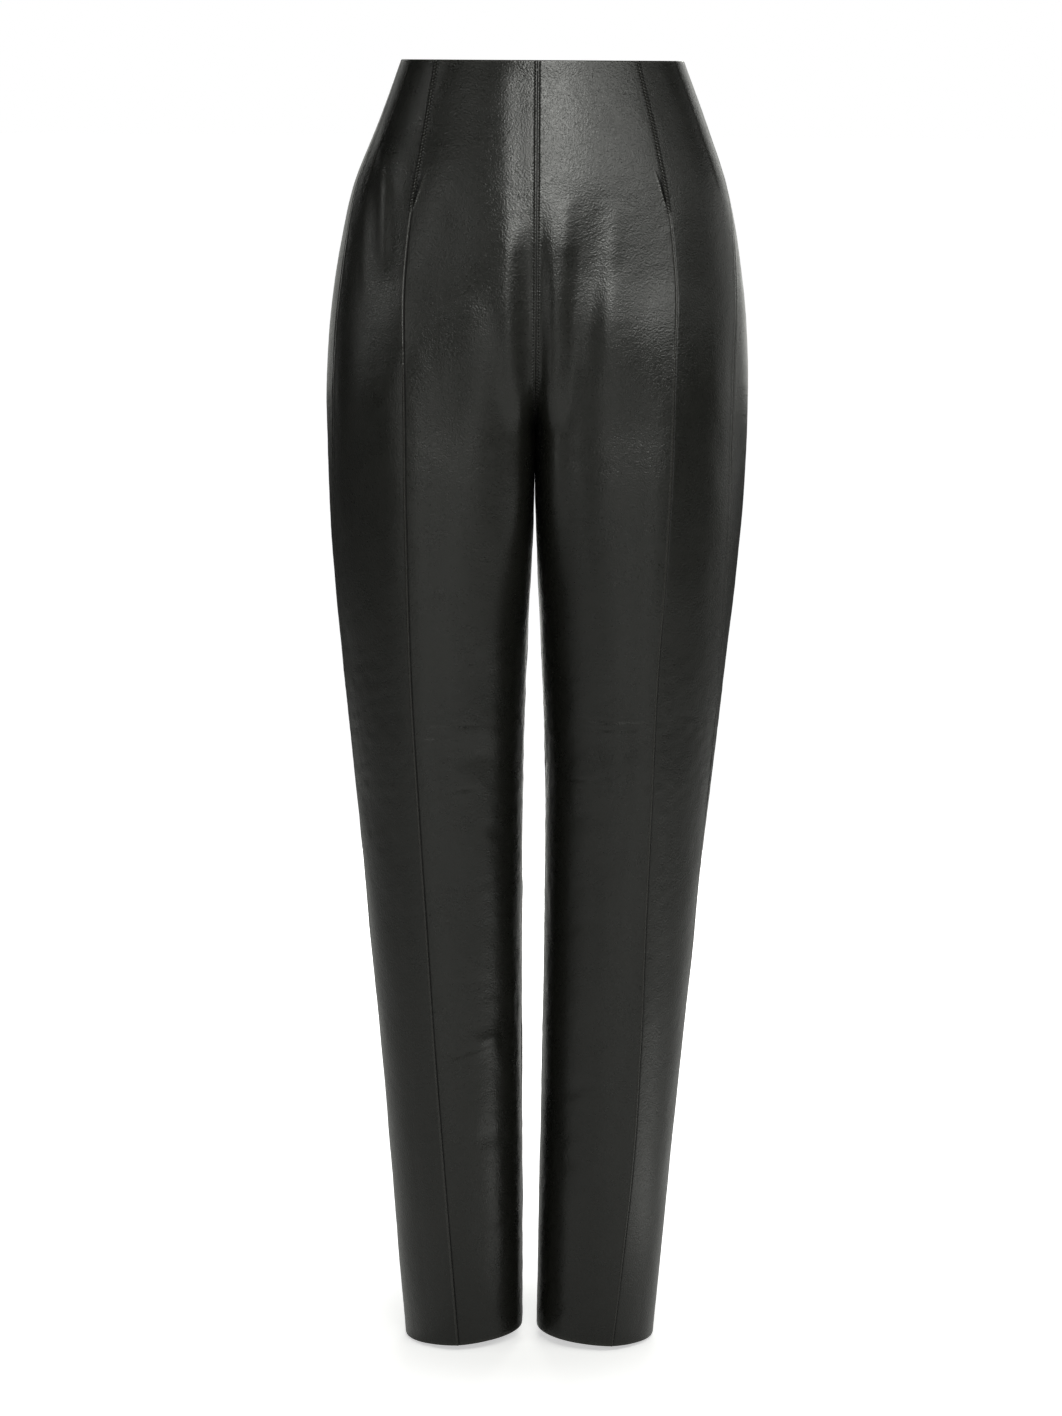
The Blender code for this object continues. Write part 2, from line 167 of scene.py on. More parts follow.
def bell(value, width):
    return np.exp(-((value / width) ** 2))


def normed(ways):
    """The same directions, each of length 1."""
    return ways / np.linalg.norm(ways, axis=-1, keepdims=True)


def oval(side, down):
    """The section of one side's cloth."""
    shift = side * SECTIONS.at(down, "shift")
    outer = SECTIONS.at(down, "half") + shift
    parted = ease(down, *PARTING)
    above = (outer - shift * (1 - parted) - INSEAMS.rows[0, 1] * parted) / (1 + parted)
    below = (outer - INSEAMS.at(down, "inner") - side * INSEAMS.at(down, "shift")) / 2
    half = np.where(down < CROTCH, above, below)
    rest = {name: SECTIONS.at(down, name) for name in SECTIONS.names[3:]}
    return SimpleNamespace(centre=outer - half, half=half, **rest)


def angle_at(shape, x):
    """The angle round an oval, from its outer side, at a distance from the centre plane."""
    across = np.clip((x - shape.centre) / shape.half, -1, 1)
    power = np.where(across > 0, shape.power, shape.inner_power)
    return np.arctan2((1 - np.abs(across) ** power) ** (1 / power), across)


def bare(side, down, angle):
    """Points of the smooth form. An angle below 0 is on the back."""
    shape = oval(side, down)
    c, s = np.cos(angle), np.sin(angle)
    power = np.where(c > 0, shape.power, shape.inner_power)
    reach = (np.abs(c) ** power + np.abs(s) ** power) ** (-1 / power)
    across = shape.half * reach * c
    depth = np.where(s > 0, shape.front + shape.widest, shape.back - shape.widest) * reach * s
    fall = HEM_SLOPE[side] * across * ease(down, LENGTH - HEM_ZONE, LENGTH)
    return np.stack([side * (shape.centre + across), shape.widest - depth, -down - fall], axis=-1)


def outward(side, down, angle):
    """The directions straight out of the cloth, level at the waist edge and at the hem."""
    round_way = bare(side, down, angle + SMALL_TURN) - bare(side, down, angle - SMALL_TURN)
    down_way = bare(side, down + SMALL_STEP, angle) - bare(side, down - SMALL_STEP, angle)
    normal = normed(side * np.cross(round_way, down_way))
    normal[..., 2] *= ease(down, 0, 15) * ease(LENGTH - down, 0, 15)
    return normed(normal)


def squared(way, down, distance):
    """The same directions, but with none across close above the centre seams, so that both sides of
    a seam drop straight back and meet."""
    across = 1 - (1 - ease(distance, 0.3, 5)) * ease(CROTCH + 2 - down, 0, 10)
    return normed(way * np.stack([across, np.ones_like(across), np.ones_like(across)], axis=-1))


def turn_for(side, down, angle, distance):
    """The change of angle that moves a point by a distance round the section."""
    step = bare(side, down, angle + SMALL_TURN) - bare(side, down, angle - SMALL_TURN)
    return 2 * SMALL_TURN * distance / np.linalg.norm(step, axis=-1)


def tuck_angle(side, down):
    return angle_at(oval(side, down), LINES.at(down, "tuck_left" if side > 0 else "tuck_right"))


def side_angle(side, down, inwards=0):
    shape = oval(side, down)
    seam = LINES.at(down, "seam_left" if side > 0 else "seam_right")
    return angle_at(shape, shape.centre + shape.half - seam - inwards)


def back_dart_angle(side, down):
    return angle_at(oval(side, down), LINES.at(down, "back"))


def centre_angle(side, down, face, half_gap):
    """Where a panel ends at the centre seam or, below the crotch, at the inseam."""
    shape = oval(side, down)
    reach = shape.front + shape.widest if face == "front" else shape.back - shape.widest
    return np.minimum(angle_at(shape, half_gap), math.pi - half_gap / reach)


# ---------------- folds and creases

# The folds of each face, each along a line, a little bowed, that fades at both ends. x: distance
# from the centre plane. half: half its width. height: below 0 for a trough. A crease is a sharp
# trough between two low lips; the others are round.
FRONT_FOLDS = [
    # side x1 down1 x2 down2 bow half height crease
    # up from the crotch, along the thighs
    (-1, 18, 190, 15, 300, 1, 4, 0.5, 0),
    (-1, 36, 170, 28, 300, 2, 9, -0.6, 0),
    (-1, 58, 150, 50, 330, 2, 12, 0.6, 0),
    (1, 17, 150, 13, 292, 1, 4, 0.7, 0),
    (1, 42, 138, 37, 226, -1, 7, 0.4, 0),
    (1, 33, 205, 24, 305, 1, 8, -0.6, 0),
    (1, 66, 150, 60, 260, 2, 10, 0.5, 0),
    # a streak down from the wearer's right hip
    (-1, 123, 48, 120, 182, 0, 5.5, 2.0, 0),
    (-1, 138, 92, 136, 200, 0, 5, 0.7, 0),
    # the fingers at the foot of the belly
    (1, 24, 104, 22, 160, 0, 4, 0.5, 0),
    (1, 64, 106, 61, 166, 0, 5, 0.5, 0),
    (-1, 12, 108, 13, 146, 0, 4, 0.3, 0),
    (-1, 60, 100, 74, 178, 2, 12, -0.5, 0),
    # fine ones that fan out from the crotch
    (-1, 5, 296, 40, 262, -3, 3, -0.3, 0),
    (1, 5, 297, 46, 268, -3, 3, -0.35, 0),
    (1, 6, 302, 62, 322, 4, 5, -0.5, 0),
    (-1, 6, 303, 52, 318, 3, 5, -0.45, 0),
    # across the knees
    (-1, 97, 532, 42, 533, 1.5, 2.2, -0.42, 1),
    (-1, 98, 543, 50, 544.5, 2, 2.2, -0.36, 1),
    (1, 32, 526, 97, 525, 2, 2.2, -0.6, 1),
    (1, 36, 533.5, 92, 532, 2, 2.0, -0.5, 1),
    (1, 16, 577, 60, 575, 1.5, 2.4, -0.3, 1),
    (-1, 70, 589, 47, 584, 1.5, 2.4, -0.38, 1),
    (-1, 22, 560, 90, 550, 2, 12, -1.0, 0),
    (1, 20, 548, 92, 556, -2, 13, -1.0, 0),
    (-1, 30, 612, 31, 628, 0, 5, -0.5, 0),
    (1, 22, 610, 70, 600, 2, 9, -0.5, 0),
    # down the shins
    (-1, 91, 667, 55, 665, -1.5, 2.4, -0.34, 1),
    (-1, 91, 687, 76, 686, -1, 2.2, -0.28, 1),
    (-1, 88, 770, 61, 760, -2, 2.6, -0.45, 1),
    (-1, 80, 812, 23, 794, -2, 2.8, -0.5, 1),
    (-1, 50, 800, 21, 793, 0, 7, 1.0, 0),
    (-1, 13.2, 744, 13.4, 798, -2.6, 1.6, 0.8, 0),
    (-1, 28, 786, 22, 806, 0, 4, -0.7, 0),
    (1, 18, 842, 52, 826, 3, 8, -0.8, 0),
    (1, 20, 700, 58, 690, 3, 9, -0.5, 0),
    (1, 60, 762, 84, 756, 1, 2.6, -0.22, 1),
    (1, 14, 902, 44, 894, 2, 7, -0.5, 0),
    (-1, 14, 880, 46, 870, 3, 8, -0.6, 0),
    (-1, 16, 962, 52, 955, 2, 8, -0.45, 0),
]
BACK_FOLDS = [
    # under the seat, behind the knees and down the calves
    (-1, 22, 332, 122, 302, 6, 13, -2.2, 0),
    (1, 24, 328, 118, 300, 5, 14, -2.3, 0),
    (-1, 20, 368, 112, 350, 5, 15, 1.5, 0),
    (1, 22, 366, 108, 354, 4, 16, 1.4, 0),
    (-1, 10, 300, 40, 244, 4, 6, -0.7, 0),
    (1, 9, 302, 44, 250, 4, 6, -0.8, 0),
    (-1, 48, 318, 104, 312, 3, 3, -0.5, 1),
    (1, 40, 322, 96, 314, 3, 3, -0.45, 1),
    (-1, 22, 601, 106, 583, 5, 13, -2.2, 0),
    (1, 24, 598, 102, 586, 5, 14, -2.2, 0),
    (-1, 104, 644, 30, 629, -4, 13, -1.8, 0),
    (1, 102, 640, 32, 632, -4, 13, -1.9, 0),
    (-1, 22, 690, 92, 672, 4, 14, -1.6, 0),
    (1, 26, 688, 90, 676, 4, 14, -1.7, 0),
    (-1, 34, 596, 92, 590, 3, 2.6, -0.5, 1),
    (1, 30, 592, 84, 588, 3, 2.6, -0.5, 1),
    (-1, 92, 622, 48, 616, -2, 2.4, -0.4, 1),
    (1, 88, 630, 40, 622, -2, 2.4, -0.4, 1),
    (-1, 40, 664, 84, 658, 2, 2.6, -0.35, 1),
    (1, 30, 902, 80, 890, 3, 13, -1.1, 0),
    (-1, 26, 906, 76, 896, 3, 12, -1.1, 0),
    (1, 34, 780, 84, 770, 3, 8, -0.6, 0),
    (-1, 30, 806, 70, 800, 3, 8, -0.6, 0),
]
FOLDS = {"front": FRONT_FOLDS, "back": BACK_FOLDS}

# Where the front sinks in above the crotch, or rises where the depth is below 0. The four places
# across, from the centre plane and above 0 on the wearer's left, are the top and the foot of one
# wall and the foot and the top of the other.
HOLLOWS = [
    # down1 down2 fade_in fade_out depth, places across at down1, places across at down2
    (0, 300, 20, 80, 0.9, (-28, -12, 4, 70), (-24, -9, 4, 40)),
    (96, 300, 90, 60, 3.6, (-25, -8, 3, 14), (-20, -5, 2.5, 11.5)),
    (92, 320, 80, 130, 3.1, (24, 34, 46, 65), (18, 26, 34, 51)),
    (112, 450, 70, 150, -1.8, (-72, -28, -20, -6), (-52, -20, -14, -4)),
]


def hollow_lift(side, x, down):
    """How far the hollows above the crotch lower the front."""
    lift = np.zeros_like(x)
    for down1, down2, fade_in, fade_out, depth, upper, lower in HOLLOWS:
        t = np.clip((down - down1) / (down2 - down1), 0, 1)
        a, b, c, d = (first + (last - first) * t for first, last in zip(upper, lower))
        shape = ease((side * x - a) / (b - a), 0, 1) * (1 - ease((side * x - c) / (d - c), 0, 1))
        lift -= depth * shape * ease(down, down1, down1 + fade_in) * ease(down2 - down, 0, fade_out)
    return lift


def bridged(place, face, down):
    """The front's points, moved forwards where the leather bridges the valley at the crotch."""
    if face == "back":
        return place
    x = np.abs(place[..., 0])
    fill = BRIDGE * (1 - ease(x, *BRIDGE_ACROSS)) * ease(down, *BRIDGE_TOP)
    fill = fill * (1 - ease(down, *BRIDGE_FOOT))
    return place - np.stack([0 * fill, fill, 0 * fill], axis=-1)


def fold_lift(side, face, x, down):
    """How far the folds and creases lift the cloth."""
    lift = np.zeros_like(x)
    if face == "front":
        lift = hollow_lift(side, x, down) + BELLY.at(down, "lift") * bell(x, BELLY_HALF)
        slower = ease(down, *THIGH_START) - ease(down, *PARTING)
        lift += THIGH_LIFT * slower * bell(x - THIGH_MIDDLE, THIGH_HALF)
    for only, x1, down1, x2, down2, bow, half, height, crease in FOLDS[face]:
        if only != side:
            continue
        long = math.hypot(x2 - x1, down2 - down1)
        ux, ud = (x2 - x1) / long, (down2 - down1) / long
        # t runs from 0 to 1 along the fold, and off is the distance from it
        t = ((x - x1) * ux + (down - down1) * ud) / long
        off = -(x - x1) * ud + (down - down1) * ux - bow * 4 * t * (1 - t)
        q = (off / half) ** 2
        shape = (1 - 1.1 * q) * np.exp(-q) if crease else np.exp(-q)
        lift += height * shape * ease(t, 0, 0.3) * ease(1 - t, 0, 0.3)
    return lift


def ripples(seed, across, down, shortest, longest, size, count=26):
    """Gentle unevenness: waves of many lengths in random directions."""
    random = np.random.RandomState(seed)
    total = np.zeros_like(across)
    for _ in range(count):
        length = shortest * (longest / shortest) ** random.rand()
        way, phase = random.rand() * math.pi, random.rand() * 2 * math.pi
        wave = (across * math.cos(way) + down * math.sin(way)) * 2 * math.pi / length
        total += np.sin(wave + phase) * (length / longest) ** 0.8
    return total * size / math.sqrt(count / 2)


# ---------------- leather panels

GAP = 0.05  # between two panels at a seam
THICK = 1.2
ROLL = 0.42  # the round of a turned edge
TURNING = {"waist": 11, "hem": 26}  # leather turned to the inside
CORNER = 5.7  # where the rounding into the centre seam or the inseam begins
STITCH_PITCH = 2.6
STITCH_LONG = 0.66  # the part of it that a thread covers
THREAD_RADIUS = 0.26
CENTRE_ROW = 1.9  # the topstitching's distance from the centre front seam
BAND_ROW = 1.1  # and from the middle of a front dart's band
BAND_HALF = 2.2
BAND_HEIGHT = 0.5
TUCK_HEIGHT = 1.25
TUCK_FOOT = 1.35  # its foot, a groove painted darker as shade, and its stitches, from its middle
TENT_HEIGHT = 2.6  # the leather is pressed a little to an edge along the pintuck
TENT_HALF = 26


def both_ways(distances):
    return [-d for d in reversed(distances)] + distances


# How far the columns of points lie from a panel's edges, a dart and a pintuck.
EDGE_COLUMNS = [0, 0.12, 0.3, 0.55, 0.9, 1.3, 1.7, 2.0, 2.35, 2.8, 3.5, 4.6, 6.2]
END_COLUMNS = [-d for d in reversed(EDGE_COLUMNS)]
DART_COLUMNS = both_ways([0.15, 0.4, 0.7, 1.1, 1.6, 2.2, 3, 4.2, 6])
TUCK_COLUMNS = both_ways([0.12, 0.35, 0.65, 0.95, 1.25, 1.55, 1.85, 2.15, 2.45, 2.75, 3.1])
TUCK_COLUMNS = [-9, -7, -5.4, -4.3, -3.6, *TUCK_COLUMNS, 3.5, 3.9, 4.3, 4.7, 5.1, 5.6, 6.2, 7, 8, 9.5]


def panel_downs():
    """Heights of the rows, closer together where something small lies across them."""
    fine = [(0, 4, 0.35), (86, 122, 1.0), (284, 312, 1.0), (518, 548, 1.2), (572, 592, 1.5)]
    fine += [(660, 692, 1.6), (756, 816, 1.8), (LENGTH - 4, LENGTH, 0.35)]
    downs = [0.0]
    while downs[-1] < LENGTH:
        step = min([2.5] + [s for low, high, s in fine if low <= downs[-1] < high])
        downs.append(min(downs[-1] + step, LENGTH))
    return np.array(downs)  # an odd number of them, for the inner grid's half


def spread(first, last, count):
    """count columns of angles between two others, which aren't among them."""
    parts = (np.arange(count) + 1) / (count + 1)
    return first[:, None] + (last - first)[:, None] * parts


def beside(side, down, line, offsets, room):
    """Columns of angles at offsets from a line, drawn together where there is less room for them."""
    offsets = np.array(offsets, float)
    unit = turn_for(side, down, line, 1.0)
    scale = np.minimum(1, room / unit / np.abs(offsets).max())
    away = scale[:, None] * offsets
    return line[:, None] + away * unit[:, None], away


def back_gap(down):
    """Half the gap at the centre back, which parts round the slider."""
    return np.interp(down, NOTCH, [GAP / 2, NOTCH_HALF, NOTCH_HALF, GAP / 2])


def panel_columns(side, face, down):
    """Angles of a panel's points, and their distances from its lines: the side seam's edge, the
    side or back dart, the tuck and the centre edge."""
    front = face == "front"
    shape = oval(side, down)
    seam = side_angle(side, down)
    first = (seam if front else -seam) + turn_for(side, down, seam, 1.0) * GAP / 2
    last = centre_angle(side, down, face, GAP / 2 if front else back_gap(down))
    corner = angle_at(shape, np.maximum(shape.centre - shape.half, 0) + CORNER)
    dart = side_angle(side, down, SIDE_DART_IN) if front else back_dart_angle(side, down)
    room = (dart - first) * (0.42 if front else 0.4)
    edge, edge_away = beside(side, down, first, EDGE_COLUMNS, room)
    mid, dart_away = beside(side, down, dart, DART_COLUMNS, room)
    end, end_away = beside(side, down, last, END_COLUMNS, (last - corner) * 0.6)
    near = spread(corner, end[:, 0], 8)
    blocks = [edge, spread(edge[:, -1], mid[:, 0], 2 if front else 34), mid]
    # the place among the blocks of the one that is near each line, and its distances
    at = {"edge": (0, edge_away), "dart": (2, dart_away)}
    if front:
        tuck = tuck_angle(side, down)
        fold, tuck_away = beside(side, down, tuck, TUCK_COLUMNS, (last - tuck) * 0.4)
        blocks += [spread(mid[:, -1], fold[:, 0], 19), fold, spread(fold[:, -1], corner, 23)]
        at["tuck"] = (4, tuck_away)
    else:
        blocks.append(spread(mid[:, -1], corner, 25))
    blocks += [near, end]
    at["centre"] = (len(blocks) - 1, -end_away)
    away = {}
    for name in ("edge", "dart", "tuck", "centre"):
        place, value = at.get(name, (None, None))
        parts = [value if k == place else np.full(b.shape, 1e3) for k, b in enumerate(blocks)]
        if name == "centre":
            parts[-2] = (last[:, None] - near) / turn_for(side, down, last, 1.0)[:, None]
        away[name] = np.concatenate(parts, axis=1)
    angles = np.concatenate(blocks, axis=1)  # an odd number of columns too
    if front:
        away["pressed"] = (angles - tuck[:, None]) / turn_for(side, down, tuck, 1.0)[:, None]
    return (angles if front else -angles), away


def edge_roll(distance):
    """The drop of a turned edge."""
    t = np.clip(distance / ROLL, 0, 1)
    return ROLL * (1 - np.sqrt(np.clip(1 - (1 - t) ** 2, 0, 1)))


def mouth(side, down, away):
    """The small open V beside the foot of a front dart: how deep it is, and its raised far lip, which
    catches the light and is painted lighter too, as a highlight.
    """
    size = 1.0 if side < 0 else 0.78  # smaller on the wearer's left
    heights = [80, 92, 105, 117]
    near = np.interp(down, heights, [2.6, 2.4, 1.5, 0.9])
    end = np.interp(down, heights, [8, 6.2, 4.2, 1.6]) * size + 0.3 * (1 - size)
    deep = ease(down, 86, 103) * ease(119 - down, 0, 7)
    hollow = ease(away, near, near + 0.6) * (1 - ease(away, end - 0.8, end))
    lip = bell(away - end - 0.5, 0.7) * ease(down, 84, 98) * ease(120 - down, 0, 8)
    return deep * hollow, lip


def tent_lift(distance, down):
    """How far the pressed edge along a pintuck stands out."""
    near = np.clip(1 - np.sqrt((distance / TENT_HALF) ** 2 + 0.004), 0, 1)
    return TENT_HEIGHT * near**1.3 * ease(down, 100, 200)


def lines_lift(side, face, down, away):
    """The seams, darts and pintucks, and each point's marks: how dark it is painted as shade, how
    light it is painted for wear and highlight, and how much a row of stitches dimples it, with a minus
    sign where the row is half a stitch off."""
    lift = -edge_roll(away["edge"]) - edge_roll(away["centre"])
    stitch = np.zeros_like(lift)
    lift += 0.22 * bell(away["edge"] - 2.6, 1.6)
    # painted shade in the seam gaps, and wear with painted highlight just beside the seam edges
    deep = bell(away["edge"], 0.35) + 1.2 * bell(away["centre"], 0.55)
    worn = bell(away["edge"] - 0.7, 0.5) + 0.4 * bell(away["centre"] - 1.0, 0.5)
    if face == "front":
        # the topstitched band beside the centre seam
        above = ease(CROTCH - 4 - down, 0, 10)
        uneven = 1 + 0.25 * np.sin(down * 2 * math.pi / 7.3) * np.sin(down * 2 * math.pi / 17 + 1)
        lift += above * 0.06 * uneven * (1 - ease(away["centre"], CENTRE_ROW + 0.2, CENTRE_ROW + 1.6))
        stitch = above * bell(away["centre"] - CENTRE_ROW, 0.5)
        # the side dart
        dart = ease(SIDE_DART_END + 3 - down, 0, 14)
        lift += dart * (0.45 * bell(away["dart"] - 1.2, 1.0) - 0.7 * bell(away["dart"], 0.4))
        # painted shade in the side dart's groove, wear and painted highlight on its flank
        deep += dart * 1.2 * bell(away["dart"] + 0.3, 0.5)
        worn += dart * bell(away["dart"] - 1.1, 0.7)
        # the front dart's band, and the pintuck that runs on from it
        t = away["tuck"]
        tucked = ease(down, FRONT_DART_END - 5, FRONT_DART_END + 5)
        zigzag = 0.45 * np.sin(down * 2 * math.pi / 5.2) * ease(down, 62, 84)
        flank = np.abs(t)
        band = BAND_HEIGHT * (1 - ease(flank, BAND_HALF - 0.8, BAND_HALF + 0.5))
        band -= 0.2 * bell(t - zigzag, 0.32)
        stitch += (1 - tucked) * 1.6 * t * bell(t, 1.5)
        lift += tent_lift(away["pressed"], down)
        leaning = t + side * 0.12
        ridge = TUCK_HEIGHT * (1 - 0.45 * ease(down, 170, 330)) * (1 - ease(np.abs(leaning), 0.3, 1.1))
        foot = -side * t  # its right foot, seen from the front
        ridge -= 0.5 * bell(foot - TUCK_FOOT, 0.4)
        hollow, lip = mouth(side, down, t)
        lift += (1 - tucked) * band + tucked * ridge - 2.0 * hollow + 0.6 * lip
        # painted shade in the V mouth, along the band's edges and at the pintuck's foot; wear and
        # painted highlight on the lip, the pintuck's ridge and the band
        deep += 2.2 * hollow + (1 - tucked) * 0.7 * bell(flank - BAND_HALF - 0.2, 0.45)
        deep += tucked * 1.2 * bell(foot - TUCK_FOOT, 0.42)
        worn += lip + 1.3 * tucked * bell(leaning, 0.6) + (1 - tucked) * 0.9 * bell(t, 1.6)
    else:
        # the back dart
        dart = ease(BACK_DART_END + 3 - down, 0, 14)
        lift += dart * (0.28 * bell(away["dart"] - 1.3, 1.1) - 0.5 * bell(away["dart"], 0.4))
        lift += 0.22 * bell(away["centre"] - 2.4, 1.5)
        # painted shade in the back dart's groove, wear and painted highlight on its flank
        deep += dart * bell(away["dart"], 0.35)
        worn += dart * bell(away["dart"] - 1.2, 0.7)
    marks = {"deep": deep, "worn": worn, "stitch": stitch}
    return lift, {label: np.clip(values, -1, 1) for label, values in marks.items()}


def unevenness(side, face, across, x, down):
    """The small dents and swells of worn leather, livelier at the inner legs and the knees."""
    seed = {"front": 11, "back": 23}[face] + side
    broad = ripples(seed, across, down * 0.6, 26, 90, 0.22)
    small = ripples(seed + 40, across, down, 7, 20, 0.07)
    blotches = ripples(seed + 80, across, down * 0.8, 9, 26, 0.16)
    calm = 0.45 + 0.55 * ease(down, 90, 260)
    inner = bell(x - 16, 20) * ease(down, 430, 560)
    knee = bell(down - 560, 90)
    small *= 0.5 + 0.4 * inner + 0.6 * knee
    blotches *= 0.45 * inner + 0.25 * knee
    return broad * calm + small + blotches


def linked(name, data):
    """A new object in the scene."""
    made = bpy.data.objects.new(name, data)
    bpy.context.scene.collection.objects.link(made)
    return made


def add_mesh(name, points, faces, materials, slots=None):
    """An object on the trousers, from arrays of points, in millimetres, and of faces."""
    mesh = bpy.data.meshes.new(name)
    mesh.from_pydata((np.asarray(points) * MM).tolist(), [], [list(map(int, f)) for f in faces])
    for material in materials:
        mesh.materials.append(material)
    if slots is not None:
        mesh.polygons.foreach_set("material_index", np.asarray(slots, np.int32))
    mesh.validate()
    mesh.shade_smooth()
    made = linked(name, mesh)
    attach(made, "trousers")
    return made


def grid_faces(rows, columns, start, flip):
    """Quads of a grid of points, numbered from start."""
    i, j = np.meshgrid(np.arange(rows - 1), np.arange(columns - 1), indexing="ij")
    a = (start + i * columns + j).ravel()
    quads = np.stack([a, a + 1, a + columns + 1, a + columns], axis=1)
    return quads[:, ::-1] if flip else quads


def steps_round(rows, columns, step):
    """Pairs of places, step apart, round the edge of a grid."""
    walk = [(0, j) for j in range(0, columns, step)]
    walk += [(i, columns - 1) for i in range(step, rows, step)]
    walk += [(rows - 1, j) for j in range(columns - 1 - step, -1, -step)]
    walk += [(i, 0) for i in range(rows - 1 - step, 0, -step)]
    return zip(walk, walk[1:] + walk[:1])


def tube_faces(rings, sides, start):
    """Faces of a tube of rings of points, numbered from start, with both ends closed."""
    faces = []
    for i in range(start, start + (rings - 1) * sides, sides):
        for j in range(sides):
            n = (j + 1) % sides
            faces.append([i + j, i + n, i + sides + n, i + sides + j])
    faces.append([start + j for j in reversed(range(sides))])
    faces.append([start + (rings - 1) * sides + j for j in range(sides)])
    return faces


def rim_faces(rows, columns, inner_columns, start, flip):
    """Faces round the edge that join the outer grid to the inner one, which has every second
    row and column."""
    faces = []
    for (i, j), (k, m) in steps_round(rows, columns, 2):
        middle = (i + k) // 2 * columns + (j + m) // 2
        face = [i * columns + j, start + i // 2 * inner_columns + j // 2]
        face += [start + k // 2 * inner_columns + m // 2, k * columns + m, middle]
        faces.append(face if flip else face[::-1])
    return faces


def leather_panel(name, side, face, leather, lining):
    """One leg panel, waist to hem, as a thin shell with turned edges."""
    # the outside
    downs = panel_downs()
    angles, away = panel_columns(side, face, downs)
    down = np.broadcast_to(downs[:, None], angles.shape)
    place = bridged(bare(side, down, angles), face, down)
    way = squared(outward(side, down, angles), down, away["centre"])
    x = np.abs(place[..., 0])
    steps = np.linalg.norm(np.diff(place, axis=1), axis=-1)
    across = np.concatenate([np.zeros((len(downs), 1)), np.cumsum(steps, axis=1)], axis=1)
    lift, marks = lines_lift(side, face, down, away)
    lift = lift - edge_roll(down) - edge_roll(LENGTH - down)
    calm_edge = ease(down, 0, 9) * ease(LENGTH - down, 0, 9)
    lift += (fold_lift(side, face, x, down) + unevenness(side, face, across, x, down)) * calm_edge
    touching = ease(down, CROTCH - 3, CROTCH + 4) * (1 - ease(down, *TOUCH_FOOT))
    lift += TOUCH * bell(x, TOUCH_HALF) * touching
    # lighter along the turned waist and hem edges: wear and painted highlight
    marks["worn"] = np.maximum(marks["worn"], bell(down - 0.9, 0.8) + bell(LENGTH - down - 0.9, 0.8))
    outer = place + way * lift[..., None]

    # the inside, which has every second row and column and no fine lines
    pick = (slice(None, None, 2), slice(None, None, 2))
    hollow, _ = mouth(side, down[pick], away["tuck"][pick])
    under = -THICK + fold_lift(side, face, x[pick], down[pick]) * calm_edge[pick] - 1.5 * hollow
    turned = np.maximum(1 - ease(down[pick], TURNING["waist"], TURNING["waist"] + 0.8),
                        ease(down[pick], LENGTH - TURNING["hem"] - 0.8, LENGTH - TURNING["hem"]))
    inner = place[pick] + way[pick] * (under - 0.45 * turned)[..., None]
    rows, columns = angles.shape
    inner_rows, inner_columns = inner.shape[:2]

    outside = (side > 0) == (face == "front")  # the grid's quads face outwards
    faces = list(grid_faces(rows, columns, 0, not outside))
    lined = list(grid_faces(inner_rows, inner_columns, rows * columns, outside))
    rim = rim_faces(rows, columns, inner_columns, rows * columns, not outside)
    folded = (turned[:-1, :-1] > 0.5).ravel()  # inside, where the leather is turned in
    slots = [0] * len(faces) + [0 if f else 1 for f in folded] + [0] * len(rim)
    points = np.concatenate([outer.reshape(-1, 3), inner.reshape(-1, 3)])
    made = add_mesh(name, points, faces + lined + rim, [leather, lining], slots)
    made.data.set_sharp_from_angle(angle=math.radians(50))
    for label, values in marks.items():
        filled = np.concatenate([values.ravel(), np.zeros(inner_rows * inner_columns)])
        layer = made.data.attributes.new(label, "FLOAT", "POINT")
        layer.data.foreach_set("value", filled.astype(np.float32))
    return made


# ---------------- stitches

def on_cloth(side, down, line, offset, centred):
    """Points and outward directions on the front, beside a line, and how far its folds lift it."""
    angle = line + offset * turn_for(side, down, line, 1.0)
    place, way = bridged(bare(side, down, angle), "front", down), outward(side, down, angle)
    if centred:
        way = squared(way, down, np.full_like(down, -offset))
    return place, way, fold_lift(side, "front", np.abs(place[..., 0]), down)


def stitch_row(side, first, last, line_of, offset, lift, slant=0.0, centred=False):
    """(start, end, outward) of each stitch in a row between two heights."""
    starts = np.arange(math.ceil(first / STITCH_PITCH), int(last / STITCH_PITCH)) * STITCH_PITCH
    ends = starts + STITCH_PITCH * STITCH_LONG
    a, way, bend_a = on_cloth(side, starts, line_of(starts), offset - slant, centred)
    b, _, bend_b = on_cloth(side, ends, line_of(ends), offset + slant, centred)
    if not centred:
        bend_a, bend_b = bend_a + tent_lift(offset, starts), bend_b + tent_lift(offset, ends)
    return a + way * (lift + bend_a)[:, None], b + way * (lift + bend_b)[:, None], way


def stitch_mesh(name, rows, thread):
    """Short rounded threads, arched a little, with their ends in the leather."""
    radius, rings, sides = THREAD_RADIUS, 6, 6
    t = np.linspace(0, 1, rings)
    arch, fat = np.sin(t * math.pi), np.sqrt(np.clip(1 - (2 * t - 1) ** 4, 0.08, 1))
    turn = np.arange(sides) * 2 * math.pi / sides
    points, faces = [], []
    for a, b, way in rows:
        along = b - a
        across = normed(np.cross(along, way))
        for k in range(len(a)):
            start = len(points) * rings * sides
            middle = a[k] + along[k] * t[:, None] + way[k] * (radius * (1.3 * arch - 0.7))[:, None]
            ring = across[k] * np.cos(turn)[:, None] + way[k] * np.sin(turn)[:, None]
            points.append((middle[:, None] + ring[None] * (radius * fat)[:, None, None]).reshape(-1, 3))
            faces += tube_faces(rings, sides, start)
    return add_mesh(name, np.concatenate(points), faces, [thread])


